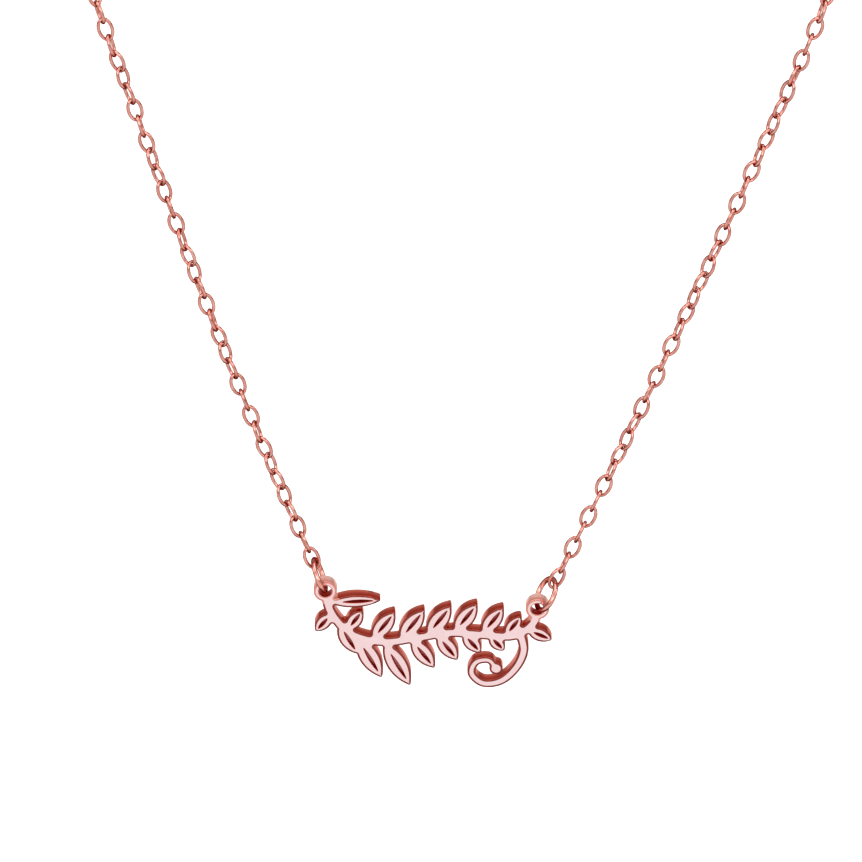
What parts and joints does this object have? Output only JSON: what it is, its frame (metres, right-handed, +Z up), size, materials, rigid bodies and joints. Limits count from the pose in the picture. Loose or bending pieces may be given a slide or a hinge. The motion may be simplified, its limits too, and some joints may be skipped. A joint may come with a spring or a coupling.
{
  "type": "nameplate necklace",
  "caption": "Necklace with a pierced leafy garland plate hung by jump rings at both ends from a closed fine cable chain, with a ring clasp at the nape.",
  "frame": {"origin": "the nape of the neck, at the inner side of the clasp", "axes": "+Z up, the plate hangs at -Z, the front of the necklace faces -Y, +X to the right of a viewer who faces the plate"},
  "size_m": [0.1124, 0.0753, 0.1408],
  "materials": {
    "polished_plate": "rose gold plating, mirror polished flat front and back, pale pink where it reflects the light, deep copper red on the cut walls",
    "rose_wire": "rose gold plating on round wire, polished, salmon copper with bright highlights"
  },
  "bodies": {
    "necklace": {"chain_left": "rose_wire", "chain_right": "rose_wire", "clasp": "rose_wire"},
    "pendant": {"nameplate": "polished_plate", "jump_ring_left": "rose_wire", "jump_ring_right": "rose_wire"}
  },
  "joints": [
    {"name": "nameplate_swing", "type": "hinge", "parent": "necklace", "child": "pendant", "pos_m": [-0.00395, -0.071, -0.12015], "axis": [0.9953, 0, -0.0966], "range_deg": [-40, 40]}
  ]
}
